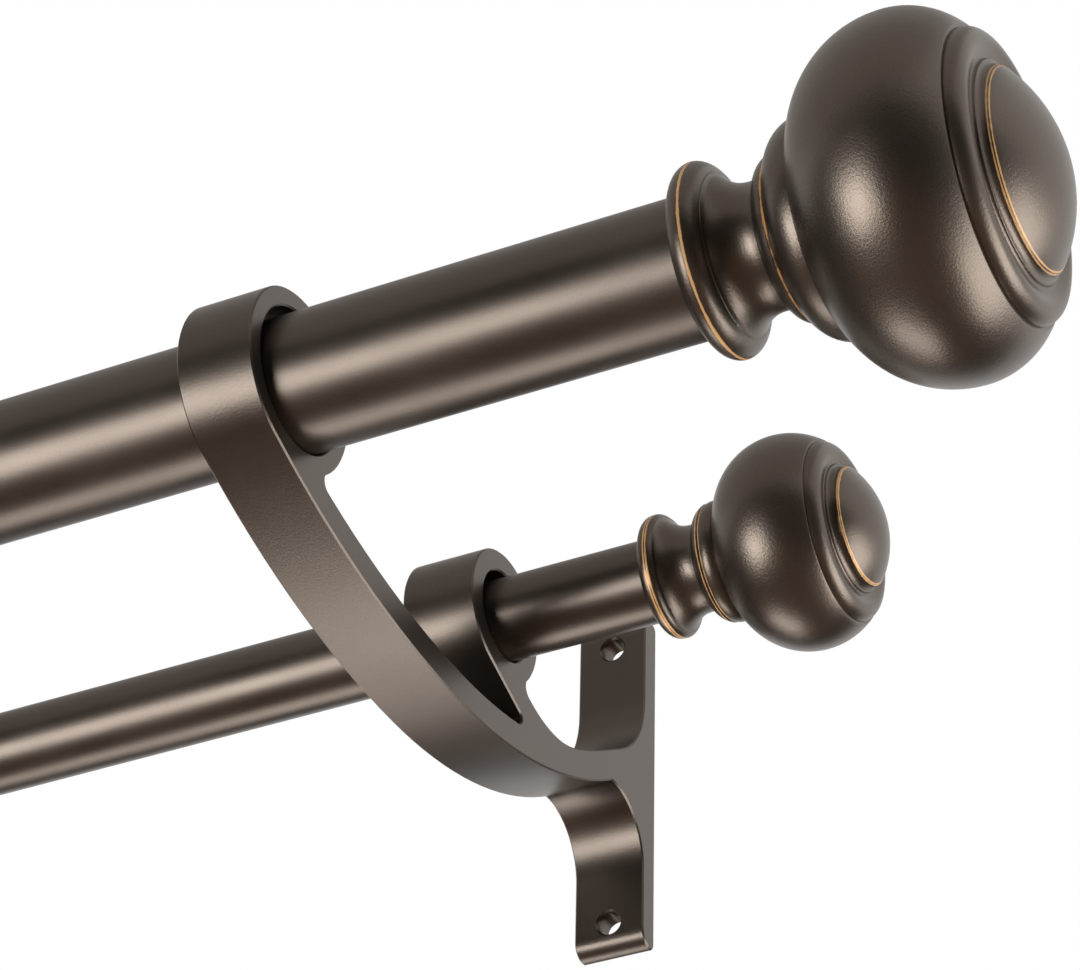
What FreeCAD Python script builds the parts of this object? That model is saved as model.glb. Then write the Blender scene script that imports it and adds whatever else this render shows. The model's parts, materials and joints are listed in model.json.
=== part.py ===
import FreeCAD, Part
import math
import os

# Double curtain pole: two telescopic poles on a pair of wall brackets, with a turned finial on each end.
# Millimetres. X runs along the poles, Y points into the wall and Z is up.
# The wall is the plane Y = 0, and the origin is the middle of the four wall screw holes.

# Poles
front_pole_diameter = 25.4
back_pole_diameter = 16.0
tube_wall = 0.8
slide_clearance = 0.2       # radial gap between an inner tube and its outer tube
inner_tube_stop = 3.0       # closed pole: end of the inner tube to the far plug

# Where the poles lie
bracket_spacing = 534.0     # middle of one bracket to the middle of the other
front_projection = 144.3    # wall to the front pole's axis
back_projection = 65.3
front_axis_height = 3.8     # above the middle of the screw holes
back_axis_height = 1.0
front_overhang = 86.5       # middle of a bracket to the finial's collar
back_overhang = 40.4

# Wall plate of the bracket
bracket_width = 15.0
plate_height = 76.0
plate_thickness = 5.0
plate_front_round = 3.3
plate_back_round = 1.4
hole_inset = 6.0            # end of the plate to a screw hole
hole_diameter = 5.0
hole_bevel = 0.4

# Rings of the bracket
front_ring_wall = 3.7
back_ring_wall = 4.3
ring_clearance = 1.05       # radial, pole to bore
seat_gap = 0.05             # pole above the lowest line of its bore

# Arm and branch of the bracket
arm_thickness = 6.2
arm_low_projection = 80.0   # wall to the lowest point of the arm's underside
arm_low_height = -26.5
arm_root_radius = 115.0     # underside, from the lowest point towards the wall
arm_root_angle = 31.0       # slope of the straight run into the plate
branch_thickness = 6.2
branch_angle = 23.0         # slope of the branch that carries the back ring
upper_web_radius = 20.0     # arm into the plate, above
lower_web_radius = 12.5     # arm into the plate, below
lower_web_step = 0.8        # crest of the lower web under the arm's underside
valley_radius = 25.0        # between the branch and the arm
front_crook_radius = 2.0    # between the front ring and the arm
back_crook_radius = 2.0     # between the back ring and the branch
slot_end_radius = 1.4
edge_bevel = 0.3            # along both outlines of the bracket

# Finials: places along the axis from the collar's face, and radii, of the front pair and of the back pair
collar_crest_place = {"front": 3.0, "back": 1.9}
collar_overhang = {"front": 4.8, "back": 3.9}
collar_round = {"front": 3.1, "back": 1.5}
collar_step_place = {"front": 6.0, "back": 3.3}
collar_step_radius = {"front": 14.8, "back": 11.3}
waist_place = {"front": 12.0, "back": 8.0}
waist_radius = {"front": 11.4, "back": 8.4}
bead_foot_place = {"front": 14.2, "back": 10.2}
bead_place = {"front": 17.0, "back": 12.4}
bead_radius = {"front": 15.0, "back": 11.4}
shoulder_place = {"front": 24.0, "back": 15.7}
ball_place = {"front": 42.4, "back": 28.4}
ball_radius = {"front": 32.4, "back": 20.4}
ball_inner_arc = {"front": 20.0, "back": 13.4}
ball_outer_arc = {"front": 15.0, "back": 13.6}
end_ring_place = {"front": 54.3, "back": 36.6}
end_ring_step = {"front": 0.8, "back": 0.5}
crown_turn = {"front": 113.0, "back": 98.0}     # angle of the end ring's round
crown_set_back = {"front": 1.9, "back": 2.1}    # highest line of the end ring behind the rim of the cap
end_face_width = {"front": 1.5, "back": 1.05}
end_face_drop = {"front": 0.55, "back": 0.35}
cove_width = {"front": 0.9, "back": 0.57}       # hollow up to the fine edge round the cap
cove_rise = {"front": 0.45, "back": 0.3}
cap_foot_width = {"front": 1.4, "back": 0.88}   # fine edge beyond the cap's side
cap_rim_place = {"front": 59.2, "back": 41.0}
cap_radius = {"front": 18.0, "back": 11.3}
dome_height = {"front": 6.2, "back": 3.9}
fine_step = {"front": 0.4, "back": 0.28}
fine_round = {"front": 0.25, "back": 0.16}

# Bulge of the finials' arcs: height over chord
collar_bulge = 0.16
neck_hollow = 0.13
waist_hollow = 0.05
bead_bulge = 0.14
shoulder_bulge = 0.16
cap_hollow = 0.15

# Fixings
recess_depth = 3.0          # finial's recess over the end of the tube
recess_clearance = 0.3
plug_length = 15.0
plug_flange = 1.0
plug_clearance = 0.05
stud_diameter = {"front": 6.0, "back": 5.0}
stud_in_plug = 12.0
stud_in_finial = 9.0
thread_clearance = 0.1
ring_screw_diameter = 4.0
ring_screw_stand_out = 0.4  # beyond the outside of the ring
ring_screw_socket = 2.0     # across the flats
ring_screw_socket_depth = 2.0

V = FreeCAD.Vector
X_AXIS = V(1, 0, 0)
half_width = bracket_width / 2
half_spacing = bracket_spacing / 2
hole_spacing = plate_height - 2 * hole_inset
pole_radius = {"front": front_pole_diameter / 2, "back": back_pole_diameter / 2}
projection = {"front": front_projection, "back": back_projection}
axis_height = {"front": front_axis_height, "back": back_axis_height}
overhang = {"front": front_overhang, "back": back_overhang}
ring_wall = {"front": front_ring_wall, "back": back_ring_wall}
bore_radius = {name: pole_radius[name] + ring_clearance for name in pole_radius}
ring_radius = {name: bore_radius[name] + ring_wall[name] for name in pole_radius}
inner_radius = {name: pole_radius[name] - tube_wall - slide_clearance for name in pole_radius}
collar_face = {name: half_spacing + overhang[name] for name in pole_radius}
recess_floor = {name: collar_face[name] + recess_depth for name in pole_radius}
tube_end = {name: recess_floor[name] - plug_flange for name in pole_radius}


def axis_point(name, x):
    """Point on a pole's axis."""
    return V(x, -projection[name], axis_height[name])


def ring_centre(name):
    """Middle of a ring's bore: the pole rests at the bottom of it."""
    return V(0, -projection[name], axis_height[name] + ring_clearance - seat_gap)


def along(start, angle, distance):
    """Point at a distance from start, in the plane of the bracket's outline; angle 0 points to the wall."""
    turn = math.radians(angle)
    return start + V(0, distance * math.cos(turn), distance * math.sin(turn))


def bearing(start, end):
    """Angle of the direction from start to end, as along() counts it."""
    return math.degrees(math.atan2(end.z - start.z, end.y - start.y))


def arc(centre, radius, first, last):
    """Arc in the outline's plane between two bearings seen from its centre."""
    ends = [along(centre, turn, radius) for turn in (first, (first + last) / 2, last)]
    return Part.Arc(*ends).toShape()


def line(start, end):
    return Part.LineSegment(start, end).toShape()


def outline_face(edges):
    return Part.Face(Part.Wire(edges))


def polygon(points):
    return Part.Face(Part.makePolygon(points + points[:1]))


def disc(centre, radius):
    return Part.Face(Part.Wire(Part.makeCircle(radius, centre, X_AXIS)))


def meet_circles(first, first_radius, second, second_radius):
    """Crossing point of two circles that lies nearer to the wall."""
    apart = (second - first).Length
    middle = (apart ** 2 + first_radius ** 2 - second_radius ** 2) / (2 * apart)
    swing = math.degrees(math.acos(middle / first_radius))
    heading = bearing(first, second)
    return max((along(first, heading + s * swing, first_radius) for s in (-1, 1)), key=lambda p: p.y)


def meet_line(start, angle, centre, radius):
    """Crossing point of a line and a circle that lies nearer to the wall."""
    offset = start - centre
    step = along(V(0, 0, 0), angle, 1.0)
    half_b = offset.dot(step)
    reach = -half_b + math.sqrt(half_b ** 2 - offset.dot(offset) + radius ** 2)
    return along(start, angle, reach)


def round_edge(solid, place, radius):
    """Rounds the edge along X that passes nearest to a place in the outline's plane."""
    crosswise = [e for e in solid.Edges if abs(e.tangentAt(e.FirstParameter).x) > 0.99]
    nearest = min(crosswise, key=lambda e: (V(0, e.CenterOfMass.y, e.CenterOfMass.z) - place).Length)
    return solid.makeFillet(radius, [nearest])


def make_bracket():
    """One bracket with its middle at X = 0."""
    front, back = ring_centre("front"), ring_centre("back")
    low = V(0, -arm_low_projection, arm_low_height)

    # underside of the arm: an arc that runs into the front ring, one that rises to the wall, a straight run
    dy, dz = low.y - front.y, low.z - front.z
    reach_radius = (ring_radius["front"] ** 2 - dy ** 2 - dz ** 2) / (2 * (dz + ring_radius["front"]))
    reach_centre = low + V(0, 0, reach_radius)
    root_centre = low + V(0, 0, arm_root_radius)
    ring_bearing = bearing(reach_centre, front)
    under = -90.0
    root_bearing = under + arm_root_angle
    under_root = along(root_centre, root_bearing, arm_root_radius)
    over_root = along(root_centre, root_bearing, arm_root_radius - arm_thickness)
    slope = math.tan(math.radians(arm_root_angle))
    inside_plate = -plate_thickness / 2
    under_end = V(0, inside_plate, under_root.z + (inside_plate - under_root.y) * slope)
    over_end = V(0, inside_plate, over_root.z + (inside_plate - over_root.y) * slope)
    reach_inner = reach_radius - arm_thickness
    root_inner = arm_root_radius - arm_thickness
    arm = outline_face([
        arc(reach_centre, reach_radius, ring_bearing, under),
        arc(root_centre, arm_root_radius, under, root_bearing),
        line(under_root, under_end),
        line(under_end, over_end),
        line(over_end, over_root),
        arc(root_centre, root_inner, root_bearing, under),
        arc(reach_centre, reach_inner, under, ring_bearing),
        line(along(reach_centre, ring_bearing, reach_inner), along(reach_centre, ring_bearing, reach_radius)),
    ])

    # branch: a strip that leaves the back ring on a tangent and runs down into the arm
    branch_low = along(back, under - branch_angle, ring_radius["back"])
    branch_high = along(branch_low, 90 - branch_angle, branch_thickness)
    slot_end = meet_line(branch_low, -branch_angle, root_centre, root_inner)
    valley = meet_line(branch_high, -branch_angle, root_centre, root_inner)
    landing = along(root_centre, bearing(root_centre, valley), arm_root_radius - arm_thickness / 2)
    branch = polygon([branch_low, slot_end, landing, valley, branch_high])

    # wall plate, and the hollow web under the arm
    plate = polygon([V(0, y, z) for y, z in (
        (-plate_thickness, -plate_height / 2), (0, -plate_height / 2),
        (0, plate_height / 2), (-plate_thickness, plate_height / 2))])
    web_y = -plate_thickness - lower_web_radius
    web_z = under_root.z + (web_y - under_root.y) * slope - lower_web_step - lower_web_radius
    web_lead = web_y - lower_web_radius / 4
    inside_arm = arm_thickness / 2
    web = polygon([V(0, y, z) for y, z in (
        (web_lead, web_z), (inside_plate, web_z), (inside_plate, under_end.z + inside_arm),
        (web_lead, under_root.z + (web_lead - under_root.y) * slope + inside_arm))])
    web = web.cut(disc(V(0, web_y, web_z), lower_web_radius))

    rings = [disc(ring_centre(name), ring_radius[name]) for name in ring_radius]
    slabs = [face.extrude(X_AXIS * bracket_width) for face in [plate, arm, branch, web] + rings]
    solid = slabs[0].fuse(slabs[1:]).removeSplitter().Solids[0]
    solid.translate(X_AXIS * -half_width)

    # rounded corners of the outline
    over_plate = V(0, -plate_thickness, over_end.z - plate_thickness / 2 * slope)
    solid = round_edge(solid, over_plate, upper_web_radius)
    solid = round_edge(solid, valley, valley_radius)
    solid = round_edge(solid, slot_end, slot_end_radius)
    back_crook = meet_line(branch_high, -branch_angle, back, ring_radius["back"])
    solid = round_edge(solid, back_crook, back_crook_radius)
    front_crook = meet_circles(front, ring_radius["front"], reach_centre, reach_inner)
    solid = round_edge(solid, front_crook, front_crook_radius)
    for end in (-plate_height / 2, plate_height / 2):
        solid = round_edge(solid, V(0, -plate_thickness, end), plate_front_round)
        solid = round_edge(solid, V(0, 0, end), plate_back_round)
    rims = [e for e in solid.Edges if abs(abs(e.CenterOfMass.x) - half_width) < 1e-6]
    solid = solid.makeChamfer(edge_bevel, rims)

    for name in bore_radius:
        solid = solid.cut(make_bore(name))
    for height in (-hole_spacing / 2, hole_spacing / 2):
        solid = solid.cut(make_screw_hole(height))
    for name in ring_radius:
        tapping = ring_screw_diameter / 2 + thread_clearance
        depth = ring_radius[name] + ring_screw_stand_out
        solid = solid.cut(Part.makeCylinder(tapping, depth, axis_point(name, 0), V(0, 1, 0)))
    return solid


def make_bore(name):
    """Through hole of a ring, bevelled at both mouths."""
    radius, wide = bore_radius[name], bore_radius[name] + edge_bevel
    inset = half_width - edge_bevel
    points = [(-half_width, 0), (-half_width, wide), (-inset, radius),
              (inset, radius), (half_width, wide), (half_width, 0)]
    tool = polygon([V(x, r, 0) for x, r in points]).revolve(V(0, 0, 0), X_AXIS, 360)
    tool.translate(ring_centre(name))
    return tool


def make_screw_hole(height):
    """Hole for a wall screw, bevelled on the room side."""
    radius = hole_diameter / 2
    points = [(0, 0), (radius + hole_bevel, 0), (radius, hole_bevel),
              (radius, plate_thickness), (0, plate_thickness)]
    tool = polygon([V(r, y, 0) for r, y in points]).revolve(V(0, 0, 0), V(0, 1, 0), 360)
    tool.translate(V(0, -plate_thickness, height))
    return tool


def make_tube(name, radius, first, last):
    start = axis_point(name, first)
    outside = Part.makeCylinder(radius, last - first, start, X_AXIS)
    return outside.cut(Part.makeCylinder(radius - tube_wall, last - first, start, X_AXIS))


class TurnedOutline:
    """Outline of a turned piece, drawn from point to point; a point is a place on the axis and a radius."""

    def __init__(self, *start):
        self.pen = V(*start, 0)
        self.edges = []

    def line_to(self, *end):
        target = V(*end, 0)
        self.edges.append(line(self.pen, target))
        self.pen = target

    def arc_to(self, end, bulge):
        """Arc whose height is bulge times its chord, outward if bulge is positive."""
        target = V(*end, 0)
        chord = target - self.pen
        top = self.pen + chord * 0.5 + V(-chord.y, chord.x, 0) * bulge
        self.edges.append(Part.Arc(self.pen, top, target).toShape())
        self.pen = target

    def spin(self):
        return Part.Face(Part.Wire(self.edges)).revolve(V(0, 0, 0), X_AXIS, 360)


def bulge_of(angle):
    """Bulge of an arc that turns by an angle."""
    return math.tan(angle / 4) / 2


def make_finial(name):
    """Turned finial of the right end, with the recess for the tube and the hole for the stud."""
    notch, soft = fine_step[name], fine_round[name]
    recess = pole_radius[name] + recess_clearance
    collar = pole_radius[name] + collar_overhang[name]
    bead, bead_at = bead_place[name], bead_radius[name]
    ball, swell = ball_place[name], ball_radius[name]
    shoulder, end_ring = shoulder_place[name], end_ring_place[name]
    inner_turn = math.asin((ball - shoulder) / ball_inner_arc[name])
    outer_turn = math.asin((end_ring - ball) / ball_outer_arc[name])
    ball_start = swell - ball_inner_arc[name] * (1 - math.cos(inner_turn))
    ball_end = swell - ball_outer_arc[name] * (1 - math.cos(outer_turn))
    ring_foot = end_ring + 2 * soft * (1 - math.sin(outer_turn))
    lip_radius = ball_end - 2 * soft * math.cos(outer_turn)
    rim, cap = cap_rim_place[name], cap_radius[name]
    dome_foot, dome = cap - notch, dome_height[name]
    fine_edge = cap + cap_foot_width[name]
    cove = fine_edge + cove_width[name]
    crown = rim - crown_set_back[name]
    valley = crown - end_face_drop[name]
    foot = valley + cove_rise[name]
    quarter = bulge_of(math.pi / 2)

    outline = TurnedOutline(recess_depth, recess)
    outline.line_to(0, recess)
    outline.line_to(0, collar - collar_round[name])
    outline.arc_to((collar_crest_place[name], collar), quarter)
    outline.arc_to((collar_step_place[name], collar_step_radius[name]), collar_bulge)
    outline.arc_to((collar_step_place[name] + soft, collar_step_radius[name] - soft), quarter)
    outline.line_to(collar_step_place[name] + soft, collar_step_radius[name] - notch)
    outline.arc_to((waist_place[name], waist_radius[name]), -neck_hollow)
    outline.arc_to((bead_foot_place[name], waist_radius[name] + notch), -waist_hollow)
    outline.arc_to((bead, bead_at), bead_bulge)
    outline.line_to(bead + notch, bead_at - notch / 2)
    outline.arc_to((shoulder, ball_start - notch), shoulder_bulge)
    outline.line_to(shoulder, ball_start)
    outline.arc_to((ball, swell), bulge_of(inner_turn))
    outline.arc_to((end_ring, ball_end), bulge_of(outer_turn))
    outline.arc_to((ring_foot, lip_radius), bulge_of(math.pi / 2 - outer_turn))
    outline.line_to(ring_foot, ball_end - end_ring_step[name])
    outline.arc_to((crown, cove + end_face_width[name]), bulge_of(math.radians(crown_turn[name])))
    outline.line_to(valley, cove)
    outline.arc_to((foot, fine_edge), -quarter)
    outline.arc_to((foot + soft, fine_edge - soft), quarter)
    outline.arc_to((rim - notch, cap), -cap_hollow)
    outline.line_to(rim, dome_foot)
    outline.arc_to((rim + dome, 0), bulge_of(2 * math.atan(dome / dome_foot)))
    bore = stud_diameter[name] / 2 + thread_clearance
    bore_end = recess_depth + stud_in_finial
    outline.line_to(bore_end, 0)
    outline.line_to(bore_end, bore)
    outline.line_to(recess_depth, bore)
    outline.line_to(recess_depth, recess)
    finial = outline.spin()
    finial.translate(axis_point(name, collar_face[name]))
    return finial


def make_stud(name):
    """Threaded stud between a finial and the plug in the tube's end."""
    start = axis_point(name, recess_floor[name] - stud_in_plug)
    stud = Part.makeCylinder(stud_diameter[name] / 2, stud_in_plug + stud_in_finial, start, X_AXIS)
    rims = [e for e in stud.Edges if e.Curve.TypeId == "Part::GeomCircle"]
    return stud.makeChamfer(stud_diameter[name] / 10, rims)


def make_plug(name, tube_radius):
    """Flanged insert in the end of a tube, with the hole for the stud."""
    flange = Part.makeCylinder(tube_radius, plug_flange, axis_point(name, tube_end[name]), X_AXIS)
    start = axis_point(name, tube_end[name] - plug_length)
    shank = Part.makeCylinder(tube_radius - tube_wall - plug_clearance, plug_length, start, X_AXIS)
    tapping = stud_diameter[name] / 2 + thread_clearance
    hole = Part.makeCylinder(tapping, plug_length + plug_flange, start, X_AXIS)
    return shank.fuse(flange).removeSplitter().cut(hole)


def make_ring_screw(name):
    """Grub screw with a hexagon socket, from the wall side of a ring to the pole."""
    rise = ring_clearance - seat_gap
    outside = math.sqrt(ring_radius[name] ** 2 - rise ** 2) + ring_screw_stand_out
    start = axis_point(name, 0) + V(0, pole_radius[name], 0)
    screw = Part.makeCylinder(ring_screw_diameter / 2, outside - pole_radius[name], start, V(0, 1, 0))
    rims = [e for e in screw.Edges if e.Curve.TypeId == "Part::GeomCircle"]
    screw = screw.makeChamfer(ring_screw_diameter / 10, rims)
    corner = ring_screw_socket / math.sqrt(3)
    turns = [math.radians(60 * i) for i in range(6)]
    corners = [V(corner * math.cos(turn), 0, corner * math.sin(turn)) for turn in turns]
    socket = polygon(corners).extrude(V(0, -ring_screw_socket_depth, 0))
    socket.translate(axis_point(name, 0) + V(0, outside, 0))
    return screw.cut(socket)


def turned_round(shape):
    """The same piece on the left end."""
    other = shape.copy()
    centre = shape.BoundBox.Center
    other.rotate(V(0, centre.y, 0), V(0, 0, 1), 180)
    return other


def shifted(shape, x):
    other = shape.copy()
    other.translate(V(x, 0, 0))
    return other


pieces = {}
bracket = make_bracket()
for side, x in (("right", half_spacing), ("left", -half_spacing)):
    pieces[side + "_bracket"] = shifted(bracket, x)
    for name in pole_radius:
        pieces[side + "_" + name + "_ring_screw"] = shifted(make_ring_screw(name), x)
for name in pole_radius:
    end = tube_end[name]
    pieces[name + "_outer_tube"] = make_tube(name, pole_radius[name], -end, end)
    inner_end = end - plug_length - inner_tube_stop
    pieces[name + "_inner_tube"] = make_tube(name, inner_radius[name], -end, inner_end)
    finial, stud = make_finial(name), make_stud(name)
    pieces["right_" + name + "_finial"] = finial
    pieces["left_" + name + "_finial"] = turned_round(finial)
    pieces["right_" + name + "_stud"] = stud
    pieces["left_" + name + "_stud"] = turned_round(stud)
    pieces["right_" + name + "_plug"] = make_plug(name, pole_radius[name])
    pieces["left_" + name + "_plug"] = turned_round(make_plug(name, inner_radius[name]))

os.makedirs("parts", exist_ok=True)
for name, shape in pieces.items():
    shape.exportStep("parts/" + name + ".step")
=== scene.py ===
"""Looks of a double curtain pole: rubbed bronze paint, gold lines on the finials, studio light and camera."""
import json
import math

import bmesh
import bpy
from mathutils import Matrix, Vector

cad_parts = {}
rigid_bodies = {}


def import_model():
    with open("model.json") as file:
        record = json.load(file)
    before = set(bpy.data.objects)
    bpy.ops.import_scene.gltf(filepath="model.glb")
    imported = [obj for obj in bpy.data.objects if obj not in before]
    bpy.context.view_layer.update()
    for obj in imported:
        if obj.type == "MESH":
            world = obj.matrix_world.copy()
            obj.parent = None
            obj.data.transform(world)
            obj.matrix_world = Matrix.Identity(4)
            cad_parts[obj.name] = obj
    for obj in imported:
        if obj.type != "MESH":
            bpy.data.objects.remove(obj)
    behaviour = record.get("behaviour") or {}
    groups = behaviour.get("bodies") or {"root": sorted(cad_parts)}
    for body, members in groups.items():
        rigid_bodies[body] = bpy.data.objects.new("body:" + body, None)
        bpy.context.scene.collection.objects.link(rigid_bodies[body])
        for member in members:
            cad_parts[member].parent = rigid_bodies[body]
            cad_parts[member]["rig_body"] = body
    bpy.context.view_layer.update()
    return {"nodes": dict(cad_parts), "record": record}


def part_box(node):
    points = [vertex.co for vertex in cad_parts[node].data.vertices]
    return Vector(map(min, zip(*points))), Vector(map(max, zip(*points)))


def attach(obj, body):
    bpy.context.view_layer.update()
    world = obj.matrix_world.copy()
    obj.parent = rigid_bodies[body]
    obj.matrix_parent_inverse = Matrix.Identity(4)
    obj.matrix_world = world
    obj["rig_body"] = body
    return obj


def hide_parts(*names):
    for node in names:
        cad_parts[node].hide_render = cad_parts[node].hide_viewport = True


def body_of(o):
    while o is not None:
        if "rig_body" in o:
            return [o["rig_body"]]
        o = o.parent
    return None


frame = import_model()

MILLIMETRE = 0.001
mounts = {mount["name"]: mount for mount in frame["record"]["mounts"]}

# Axes of the poles, and where the collars of the right finials begin, in metres
FRONT_AXIS = mounts["front_pole"]["pos_m"]
BACK_AXIS = mounts["back_pole"]["pos_m"]
FRONT_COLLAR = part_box("right_front_finial")[0].x
BACK_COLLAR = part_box("right_back_finial")[0].x

# Wall screw holes of the brackets, in metres
HOLE_RADIUS = mounts["wall_screws"]["dims"]["hole_r_mm"] * MILLIMETRE
HOLE_SPACING = mounts["wall_screws"]["dims"]["spacing_y_mm"] * MILLIMETRE
HOLE_BEVEL = 0.0004
HOLE_CLEARING = 0.004
HOLE_SIDES = 64
PLATE_THICKNESS = 0.005

# Studs: pitch of the thread in metres, its depth in pitches, corners of a turn and rows to a pitch
FRONT_STUD_PITCH = 0.001
BACK_STUD_PITCH = 0.0008
THREAD_DEPTH = 0.61
THREAD_SIDES = 24
THREAD_ROWS = 6

# Skins: points this near are one, and a bend over this many degrees is a sharp edge
MERGE_DISTANCE = 1e-6
SHARP_EDGE = 40.0

# Colours of each finish, from its darkest to its lightest
BRONZE = ((0.090, 0.074, 0.062, 1.0), (0.120, 0.100, 0.084, 1.0))
FINIAL_BRONZE = ((0.102, 0.083, 0.068, 1.0), (0.136, 0.112, 0.092, 1.0))
GOLD = ((0.50, 0.26, 0.085, 1.0), (0.66, 0.39, 0.17, 1.0))
BLACKENED_STEEL = ((0.05, 0.047, 0.045, 1.0), (0.12, 0.115, 0.11, 1.0))
ZINC = ((0.48, 0.47, 0.45, 1.0), (0.62, 0.61, 0.59, 1.0))
BLACK_PLASTIC = ((0.018, 0.016, 0.015, 1.0), (0.030, 0.027, 0.025, 1.0))

# Gloss of each finish: how metallic it is, and its roughness from the smoothest place to the roughest
BRONZE_METAL = 0.94
GOLD_METAL = 0.3
STEEL_METAL = 1.0
PLASTIC_METAL = 0.0
BRONZE_ROUGHNESS = (0.33, 0.39)
STEEL_ROUGHNESS = (0.28, 0.42)
PLASTIC_ROUGHNESS = (0.5, 0.62)
GOLD_ROUGHER = 0.1

# Patterns: how fine they are, per metre, how many finer layers they have, and how strong those layers are
CLOUDS = (28.0, 3.0, 0.5)
FLAKES = (5200.0, 1.0, 0.5)
ORANGE_PEEL = (2300.0, 2.0, 0.45)
WEAR = (120.0, 3.0, 0.5)
FRAY = (900.0, 2.0, 0.5)
STEEL_GRAIN = (3000.0, 2.0, 0.5)
PLASTIC_GRAIN = (1800.0, 3.0, 0.5)
CLOUD_SHARE = 0.6
FLAKE_SHARE = 0.5
PATTERN_MIDDLE = 0.5
PATTERN_RANGE = (0.3, 0.7)
PAINT_RANGE = (0.3, 0.85)

# Unevenness: its height in metres, and its strength on each piece
PEEL_HEIGHT = 0.00012
GRAIN_HEIGHT = 0.0001
POLE_PEEL = 0.1
BRACKET_PEEL = 0.16
FINIAL_PEEL = 0.26
STEEL_UNEVENNESS = 0.08
PLASTIC_UNEVENNESS = 0.15

# Gold lines in millimetres: place behind the collar's face, radius and half width; the inner part is all gold
FRONT_LINES = ((3.3, 17.5, 0.32), (17.3, 15.0, 0.28), (58.8, 18.0, 0.2), (59.2, 17.6, 0.2))
BACK_LINES = ((1.8, 11.9, 0.2), (2.3, 11.9, 0.2), (12.2, 11.4, 0.2), (12.8, 11.4, 0.2),
              (40.72, 11.3, 0.18), (41.0, 11.02, 0.18))
LINE_INNER = 0.55
LINE_FRAY = 0.25

# Camera, measured from the photograph
CAMERA_PLACE = (0.59335, -0.65365, -0.43990)
CAMERA_AZIMUTH = 27.95
CAMERA_ELEVATION = -35.23
CAMERA_ROLL = 1.491
CAMERA_LENS = 140.42
CAMERA_SENSOR = 36.0
CAMERA_REACH = (0.01, 100.0)

# Lamps: azimuth and elevation in degrees, distance and size in metres, power in watts
LIT_PLACE = Vector((0.33, -0.12, 0.0))
LAMPS = {
    "key_lamp": (-36.0, -25.0, 1.6, (0.85, 0.75), 19.0),
    "low_lamp": (-140.0, -46.0, 1.5, (0.75, 0.6), 6.4),
    "side_lamp": (116.0, -20.0, 1.6, (1.2, 1.3), 28.0),
}
SOFT_LIGHT = 0.5

# Floor, in metres, with the glow that makes it white
FLOOR_HEIGHT = -1.6
FLOOR_REACH = 12.0
FLOOR_COLOUR = (0.86, 0.86, 0.86, 1.0)
FLOOR_GLOW = 0.6

# Dark cloth that reflections show: a round wall whose rim is highest at one azimuth, and its bottom
CLOTH_RADIUS = 2.6
CLOTH_BOTTOM = -1.5
CLOTH_SIDES = 72
RIM_HEIGHT = 0.55
RIM_RISE = 0.85
RIM_AZIMUTH = 20.0
CLOTH_GLOW = (0.03, 0.02, 0.014, 1.0)
BOTTOM_GLOW = (0.22, 0.14, 0.09, 1.0)

# Dim ceiling that reflections show, set off towards the room
CEILING_HEIGHT = 1.5
CEILING_RADIUS = 2.4
CEILING_AZIMUTH = -40.0
CEILING_OFFSET = 1.6
CEILING_GLOW = (0.58, 0.55, 0.53, 1.0)

# A Mix node's colour sockets have the same names as its others, so they go by number
MIX_FIRST, MIX_SECOND, MIX_RESULT = 6, 7, 2


class Value:
    """An output inside a node tree; arithmetic on it adds Math nodes."""

    def __init__(self, tree, socket=None):
        self.tree = tree
        self.socket = socket

    def node(self, kind, settings=None, sockets=None, output=0):
        """Any node: its type, its settings, the values or links of its sockets, and the output wanted."""
        made = self.tree.nodes.new(kind)
        for key, setting in (settings or {}).items():
            setattr(made, key, setting)
        for key, value in (sockets or {}).items():
            if isinstance(value, Value):
                self.tree.links.new(value.socket, made.inputs[key])
            else:
                made.inputs[key].default_value = value
        return Value(self.tree, made.outputs[output])

    def end(self, kind, socket="Surface"):
        """Leads to the output of the whole tree."""
        output = self.tree.nodes.new(kind)
        self.tree.links.new(self.socket, output.inputs[socket])

    def math(self, operation, *values):
        return self.node("ShaderNodeMath", {"operation": operation}, dict(enumerate(values)))

    def step(self, low, high, first=0.0, last=1.0):
        """Smooth rise from first at low to last at high."""
        return self.node("ShaderNodeMapRange", {"interpolation_type": "SMOOTHSTEP"}, {
            "Value": self, "From Min": low, "From Max": high, "To Min": first, "To Max": last})

    def axis(self, name):
        """The X, Y or Z of a vector."""
        return self.node("ShaderNodeSeparateXYZ", None, {"Vector": self}, name)

    def __add__(self, other):
        return self.math("ADD", self, other)

    def __sub__(self, other):
        return self.math("SUBTRACT", self, other)

    def __rsub__(self, other):
        return self.math("SUBTRACT", other, self)

    def __mul__(self, other):
        return self.math("MULTIPLY", self, other)

    def __truediv__(self, other):
        return self.math("DIVIDE", self, other)

    def __rtruediv__(self, other):
        return self.math("DIVIDE", other, self)

    __radd__ = __add__
    __rmul__ = __mul__


def new_material(name):
    """An empty material, and the start of its node tree."""
    material = bpy.data.materials.new(name)
    material.use_nodes = True
    material.node_tree.nodes.clear()
    return material, Value(material.node_tree)


def finish_material(material, start, **sockets):
    """One Principled shader to the material's output."""
    inputs = {name.replace("_", " "): value for name, value in sockets.items()}
    start.node("ShaderNodeBsdfPrincipled", None, inputs).end("ShaderNodeOutputMaterial")
    return material


def surface_place(start):
    """Place on the piece, in metres."""
    return start.node("ShaderNodeTexCoord", output="Object")


def pattern(start, place, fineness, layers, strength):
    """Soft irregular pattern from 0 to 1."""
    return start.node("ShaderNodeTexNoise", {"noise_dimensions": "3D"}, {
        "Vector": place, "Scale": fineness, "Detail": layers, "Roughness": strength})


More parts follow.
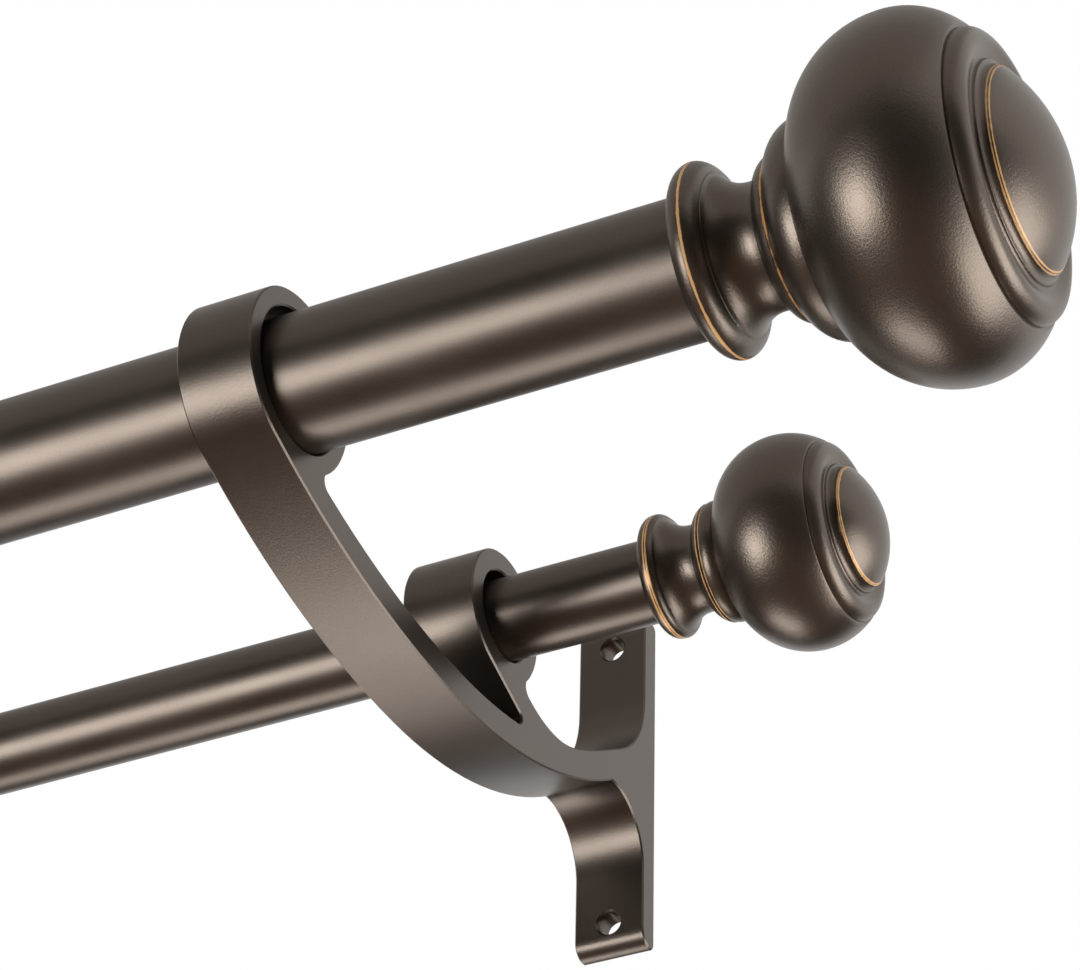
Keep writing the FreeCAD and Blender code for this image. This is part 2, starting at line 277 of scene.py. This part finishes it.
def mix(start, factor, first, second):
    """Mix of two colours."""
    colours = {"Factor": factor, MIX_FIRST: first, MIX_SECOND: second}
    return start.node("ShaderNodeMix", {"data_type": "RGBA"}, colours, MIX_RESULT)


def unevenness(start, height, distance, strength):
    """Bump for a material's normal."""
    return start.node("ShaderNodeBump", None, {"Strength": strength, "Distance": distance, "Height": height})


def length_of(start, first, second):
    """Length of the slope over two sides at a right angle."""
    return start.math("SQRT", first * first + second * second)


def bronze_parts(start, place, colours, peel):
    """Colour, roughness and bump of the satin bronze paint."""
    clouds = pattern(start, place, *CLOUDS)
    flakes = pattern(start, place, *FLAKES)
    shade = (clouds * CLOUD_SHARE + flakes * FLAKE_SHARE).step(*PAINT_RANGE)
    roughness = clouds.step(*PATTERN_RANGE, *BRONZE_ROUGHNESS)
    bump = unevenness(start, pattern(start, place, *ORANGE_PEEL), PEEL_HEIGHT, peel)
    return mix(start, shade, *colours), roughness, bump


def bronze(name, peel):
    """Satin bronze paint of the poles and brackets."""
    material, start = new_material(name)
    colour, roughness, bump = bronze_parts(start, surface_place(start), BRONZE, peel)
    return finish_material(material, start, Base_Color=colour, Roughness=roughness, Normal=bump,
                           Metallic=BRONZE_METAL)


def rubbed_bronze(name, axis, collar, lines):
    """Bronze paint of a finial, rubbed through to gold in lines along its ridges."""
    material, start = new_material(name)
    place = surface_place(start)
    paint, roughness, bump = bronze_parts(start, place, FINIAL_BRONZE, FINIAL_PEEL)
    along = (start.math("ABSOLUTE", place.axis("X")) - collar) / MILLIMETRE
    side = (place.axis("Y") - axis[1]) / MILLIMETRE
    rise = (place.axis("Z") - axis[2]) / MILLIMETRE
    radius = length_of(start, side, rise)
    wear = pattern(start, place, *WEAR)
    fray = pattern(start, place, *FRAY)
    mask = 0.0
    for spot, ring, width in lines:
        reach = length_of(start, along - spot, radius - ring)
        edge = reach + (fray - PATTERN_MIDDLE) * LINE_FRAY + (PATTERN_MIDDLE - wear) * width
        mask = start.math("MAXIMUM", mask, edge.step(width * LINE_INNER, width, 1.0, 0.0))
    gold = mix(start, fray, *GOLD)
    return finish_material(material, start, Base_Color=mix(start, mask, paint, gold), Normal=bump,
                           Roughness=roughness + mask * GOLD_ROUGHER,
                           Metallic=mask * (GOLD_METAL - BRONZE_METAL) + BRONZE_METAL)


def grained(name, colours, grain, roughness, strength, metal):
    """Bare steel or moulded plastic with a fine grain."""
    material, start = new_material(name)
    specks = pattern(start, surface_place(start), *grain)
    return finish_material(material, start, Base_Color=mix(start, specks, *colours), Metallic=metal,
                           Roughness=specks.step(*PATTERN_RANGE, *roughness),
                           Normal=unevenness(start, specks, GRAIN_HEIGHT, strength))


def dress(piece, material):
    """The piece has this material and no other."""
    piece.data.materials.clear()
    piece.data.materials.append(material)


def new_object(name, data):
    """An object in the scene."""
    made = bpy.data.objects.new(name, data)
    bpy.context.scene.collection.objects.link(made)
    return made


def stand_for(piece, node):
    """The piece takes the place of a CAD node and moves with its body."""
    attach(piece, body_of(frame["nodes"][node])[0])
    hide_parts(node)


def open_mesh(mesh):
    """A mesh as a shape that can be edited."""
    shape = bmesh.new()
    shape.from_mesh(mesh)
    return shape


def close_mesh(shape, mesh):
    """Writes a shape to a mesh, with light rounded over gentle edges and crisp over sharp ones."""
    for face in shape.faces:
        face.smooth = True
    for edge in shape.edges:
        edge.smooth = edge.calc_face_angle(0.0) < math.radians(SHARP_EDGE)
    shape.to_mesh(mesh)
    shape.free()


def round_hole(shape, x, z):
    """Makes a wall screw hole of a bracket again, truly round and bevelled on the room side."""
    old = [vert for vert in shape.verts if math.hypot(vert.co.x - x, vert.co.z - z) < HOLE_CLEARING]
    bmesh.ops.delete(shape, geom=old, context="VERTS")
    rims = [edge for edge in shape.edges if edge.is_boundary]
    room_rims = [rim for rim in rims if rim.verts[0].co.y < -PLATE_THICKNESS / 2]
    wall_rims = [rim for rim in rims if rim not in room_rims]
    turns = [math.tau * i / HOLE_SIDES for i in range(HOLE_SIDES)]
    profile = ((-PLATE_THICKNESS, HOLE_RADIUS + HOLE_BEVEL),
               (-PLATE_THICKNESS + HOLE_BEVEL, HOLE_RADIUS), (0.0, HOLE_RADIUS))
    rings = []
    for y, radius in profile:
        points = [(x + radius * math.cos(turn), y, z + radius * math.sin(turn)) for turn in turns]
        rings.append([shape.verts.new(point) for point in points])
    for first, second in zip(rings, rings[1:]):
        for i in range(HOLE_SIDES):
            shape.faces.new((first[i - 1], first[i], second[i], second[i - 1]))
    for ring, outline in ((rings[0], room_rims), (rings[-1], wall_rims)):
        circle = [shape.edges.get((ring[i - 1], ring[i])) for i in range(HOLE_SIDES)]
        bmesh.ops.triangle_fill(shape, use_beauty=True, edges=circle + outline)
    bmesh.ops.recalc_face_normals(shape, faces=shape.faces)


def smooth_skin(node, slot, material):
    """The same shape as a CAD node with its patches joined, so that light runs on over the seams."""
    mesh = bpy.data.meshes.new(node + "_skin")
    shape = open_mesh(frame["nodes"][node].data)
    bmesh.ops.remove_doubles(shape, verts=shape.verts, dist=MERGE_DISTANCE)
    if slot == "bracket":
        low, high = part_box(node)
        for z in (-HOLE_SPACING / 2, HOLE_SPACING / 2):
            round_hole(shape, (low.x + high.x) / 2, z)
    close_mesh(shape, mesh)
    mesh.attributes.remove(mesh.attributes["custom_normal"])
    skin = new_object(node + "_skin", mesh)
    stand_for(skin, node)
    dress(skin, material)


def thread_tree():
    """Threaded rod along X from the origin, with the thread running out at both ends."""
    tree = bpy.data.node_groups.new("stud_thread", "GeometryNodeTree")
    tree.interface.new_socket("Geometry", in_out="OUTPUT", socket_type="NodeSocketGeometry")
    kinds = {"Length": "Float", "Radius": "Float", "Pitch": "Float", "Depth": "Float",
             "Rows": "Int", "Sides": "Int", "Material": "Material"}
    for name, kind in kinds.items():
        tree.interface.new_socket(name, in_out="INPUT", socket_type="NodeSocket" + kind)
    start = Value(tree)
    given = {name: start.node("NodeGroupInput", output=name) for name in kinds}
    length, core = given["Length"], given["Radius"] - given["Depth"]

    # A flat sheet, rolled up: across it runs once round the rod, and along it from end to end
    sheet = start.node("GeometryNodeMeshGrid", None, {
        "Size X": 1.0, "Size Y": 1.0, "Vertices X": given["Rows"], "Vertices Y": given["Sides"] + 1})
    place = start.node("GeometryNodeInputPosition")
    along = (place.axis("X") + 0.5) * length
    lap = place.axis("Y") + 0.5
    end_gap = start.math("MINIMUM", along, length - along)
    ridge = start.math("PINGPONG", along / given["Pitch"] - lap, 0.5) * 2
    reach = core + start.math("MINIMUM", ridge * given["Depth"], end_gap)
    turn = lap * math.tau
    rolled = start.node("ShaderNodeCombineXYZ", None, {
        "X": along, "Y": reach * start.math("COSINE", turn), "Z": reach * start.math("SINE", turn)})
    rod = start.node("GeometryNodeSetPosition", None, {"Geometry": sheet, "Position": rolled})

    # A disc closes each end
    disc = start.node("GeometryNodeMeshCircle", {"fill_type": "NGON"}, {
        "Vertices": given["Sides"], "Radius": core})
    whole = start.node("GeometryNodeJoinGeometry", None, {"Geometry": rod})
    for end in (0.0, length):
        spot = start.node("ShaderNodeCombineXYZ", None, {"X": end})
        upright = start.node("GeometryNodeTransform", None, {
            "Geometry": disc, "Rotation": (0.0, math.pi / 2, 0.0), "Translation": spot})
        tree.links.new(upright.socket, whole.socket.node.inputs["Geometry"])
    closed = start.node("GeometryNodeMergeByDistance", None, {"Geometry": whole, "Distance": MERGE_DISTANCE})
    real = start.node("GeometryNodeRealizeInstances", None, {"Geometry": closed})
    made = start.node("GeometryNodeSetMaterial", None, {"Geometry": real, "Material": given["Material"]})
    made.end("NodeGroupOutput", "Geometry")
    return tree


def threaded_stud(node, tree, pitch, material):
    """A stud with its thread, in the place of its plain CAD node."""
    low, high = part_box(node)
    length, radius = high.x - low.x, (high.z - low.z) / 2
    piece = new_object(node + "_threaded", bpy.data.meshes.new(node + "_threaded"))
    modifier = piece.modifiers.new("thread", "NODES")
    modifier.node_group = tree
    values = {"Length": length, "Radius": radius, "Pitch": pitch, "Depth": THREAD_DEPTH * pitch,
              "Rows": round(length / pitch * THREAD_ROWS) + 1, "Sides": THREAD_SIDES, "Material": material}
    for socket in tree.interface.items_tree:
        if socket.in_out == "INPUT":
            modifier[socket.identifier] = values[socket.name]
    mesh = bpy.data.meshes.new_from_object(piece.evaluated_get(bpy.context.evaluated_depsgraph_get()))
    piece.modifiers.remove(modifier)
    mesh.transform(Matrix.Translation((low.x, (low.y + high.y) / 2, (low.z + high.z) / 2)))
    shape = open_mesh(mesh)
    bmesh.ops.recalc_face_normals(shape, faces=shape.faces)
    close_mesh(shape, mesh)
    piece.data = mesh
    stand_for(piece, node)


def direction(azimuth, elevation):
    """From the object outwards: azimuth 0 is the room side, 90 the right end and 180 the wall side."""
    a, e = math.radians(azimuth), math.radians(elevation)
    return Vector((math.sin(a) * math.cos(e), -math.cos(a) * math.cos(e), math.sin(e)))


def look_from(azimuth, elevation, roll=0.0):
    """Turn of a camera or lamp that looks at the object from that side."""
    back = direction(azimuth, elevation)
    level = direction(azimuth + 90.0, 0.0)
    upright = back.cross(level)
    r = math.radians(roll)
    right = level * math.cos(r) + upright * math.sin(r)
    up = upright * math.cos(r) - level * math.sin(r)
    return Matrix((right, up, back)).transposed().to_4x4()


def add_camera():
    """Camera at the photograph's viewing angle."""
    data = bpy.data.cameras.new("camera")
    data.sensor_width = CAMERA_SENSOR
    data.lens = CAMERA_LENS
    data.clip_start, data.clip_end = CAMERA_REACH
    camera = new_object("camera", data)
    turn = look_from(CAMERA_AZIMUTH, CAMERA_ELEVATION, CAMERA_ROLL)
    camera.matrix_world = Matrix.Translation(CAMERA_PLACE) @ turn
    bpy.context.scene.camera = camera


def add_lamp(name, azimuth, elevation, distance, size, power):
    """Soft rectangular lamp that faces the object."""
    data = bpy.data.lights.new(name, "AREA")
    data.shape = "RECTANGLE"
    data.size, data.size_y = size
    data.energy = power
    lamp = new_object(name, data)
    place = LIT_PLACE + direction(azimuth, elevation) * distance
    lamp.matrix_world = Matrix.Translation(place) @ look_from(azimuth, elevation)
    lamp.visible_camera = False


def seen_rays(start):
    """One where the camera, a reflection or clear glass looks, and none where light only falls."""
    kinds = ("Is Camera Ray", "Is Glossy Ray", "Is Transmission Ray")
    camera, glossy, clear = (start.node("ShaderNodeLightPath", output=kind) for kind in kinds)
    return start.math("MAXIMUM", camera, start.math("MAXIMUM", glossy, clear))


def add_floor():
    """Pale floor well under the object; seen from below it lets the view through."""
    mesh = bpy.data.meshes.new("floor")
    corners = [(-1, -1), (1, -1), (1, 1), (-1, 1)]
    points = [(x * FLOOR_REACH, y * FLOOR_REACH, FLOOR_HEIGHT) for x, y in corners]
    mesh.from_pydata(points, [], [(0, 1, 2, 3)])
    material, start = new_material("floor_white")
    matte = start.node("ShaderNodeBsdfDiffuse", None, {"Color": FLOOR_COLOUR})
    glow = start.node("ShaderNodeEmission", None, {"Strength": seen_rays(start) * FLOOR_GLOW})
    white = start.node("ShaderNodeAddShader", None, {0: matte, 1: glow})
    clear = start.node("ShaderNodeBsdfTransparent")
    below = start.node("ShaderNodeNewGeometry", output="Backfacing")
    start.node("ShaderNodeMixShader", None, {0: below, 1: white, 2: clear}).end("ShaderNodeOutputMaterial")
    mesh.materials.append(material)
    new_object("floor", mesh)


def add_reflection(name, points, parts):
    """Studio surface that only reflections show, in parts with a glow and faces each."""
    mesh = bpy.data.meshes.new(name)
    mesh.from_pydata(points, [], [face for faces in parts.values() for face in faces])
    begin = 0
    for number, (glow, faces) in enumerate(parts.items()):
        material, start = new_material(name + "_" + str(number))
        start.node("ShaderNodeEmission", None, {"Color": glow}).end("ShaderNodeOutputMaterial")
        mesh.materials.append(material)
        for polygon in mesh.polygons[begin:begin + len(faces)]:
            polygon.material_index = number
        begin += len(faces)
    surface = new_object(name, mesh)
    for ray in ("camera", "diffuse", "transmission", "shadow"):
        setattr(surface, "visible_" + ray, False)


def add_reflections():
    """Dark cloth around and under the object, higher on the room side, and a dim ceiling over the room."""
    sides = [direction(360.0 * i / CLOTH_SIDES, 0.0) for i in range(CLOTH_SIDES)]
    around = tuple(range(CLOTH_SIDES))
    highest = direction(RIM_AZIMUTH, 0.0)
    up = Vector((0, 0, 1))
    feet = [LIT_PLACE + side * CLOTH_RADIUS + up * CLOTH_BOTTOM for side in sides]
    heights = [RIM_HEIGHT + RIM_RISE * side.dot(highest) for side in sides]
    rims = [LIT_PLACE + side * CLOTH_RADIUS + up * height for side, height in zip(sides, heights)]
    walls = [(i, j, CLOTH_SIDES + j, CLOTH_SIDES + i) for i, j in zip(around, around[1:] + around[:1])]
    add_reflection("dark_cloth", feet + rims, {CLOTH_GLOW: walls, BOTTOM_GLOW: [around]})
    middle = LIT_PLACE + direction(CEILING_AZIMUTH, 0.0) * CEILING_OFFSET + up * CEILING_HEIGHT
    edge = [middle + side * CEILING_RADIUS for side in sides]
    add_reflection("dim_ceiling", edge, {CEILING_GLOW: [around]})


def add_world():
    """White for what the camera and the reflections see, softer for the light that falls on the object."""
    world = bpy.data.worlds.new("studio")
    bpy.context.scene.world = world
    world.use_nodes = True
    world.node_tree.nodes.clear()
    start = Value(world.node_tree)
    strength = seen_rays(start) * (1.0 - SOFT_LIGHT) + SOFT_LIGHT
    white = {"Color": (1.0, 1.0, 1.0, 1.0), "Strength": strength}
    start.node("ShaderNodeBackground", None, white).end("ShaderNodeOutputWorld")


pole_bronze = bronze("pole_bronze", POLE_PEEL)
bracket_bronze = bronze("bracket_bronze", BRACKET_PEEL)
front_finial_bronze = rubbed_bronze("front_finial_bronze", FRONT_AXIS, FRONT_COLLAR, FRONT_LINES)
back_finial_bronze = rubbed_bronze("back_finial_bronze", BACK_AXIS, BACK_COLLAR, BACK_LINES)
screw_steel = grained(
    "screw_steel", BLACKENED_STEEL, STEEL_GRAIN, STEEL_ROUGHNESS, STEEL_UNEVENNESS, STEEL_METAL)
stud_zinc = grained("stud_zinc", ZINC, STEEL_GRAIN, STEEL_ROUGHNESS, STEEL_UNEVENNESS, STEEL_METAL)
plug_plastic = grained(
    "plug_plastic", BLACK_PLASTIC, PLASTIC_GRAIN, PLASTIC_ROUGHNESS, PLASTIC_UNEVENNESS, PLASTIC_METAL)
stud_thread = thread_tree()

for node, cad in frame["nodes"].items():
    if node.endswith("_tube"):
        dress(cad, pole_bronze)
    elif node.endswith("_bracket"):
        smooth_skin(node, "bracket", bracket_bronze)
    elif node.endswith("front_finial"):
        smooth_skin(node, "finial", front_finial_bronze)
    elif node.endswith("back_finial"):
        smooth_skin(node, "finial", back_finial_bronze)
    elif node.endswith("front_stud"):
        threaded_stud(node, stud_thread, FRONT_STUD_PITCH, stud_zinc)
    elif node.endswith("back_stud"):
        threaded_stud(node, stud_thread, BACK_STUD_PITCH, stud_zinc)
    elif node.endswith("_plug"):
        dress(cad, plug_plastic)
    else:
        dress(cad, screw_steel)

add_camera()
add_world()
add_floor()
add_reflections()
for name, settings in LAMPS.items():
    add_lamp(name, *settings)
bpy.context.scene.view_settings.view_transform = "Standard"
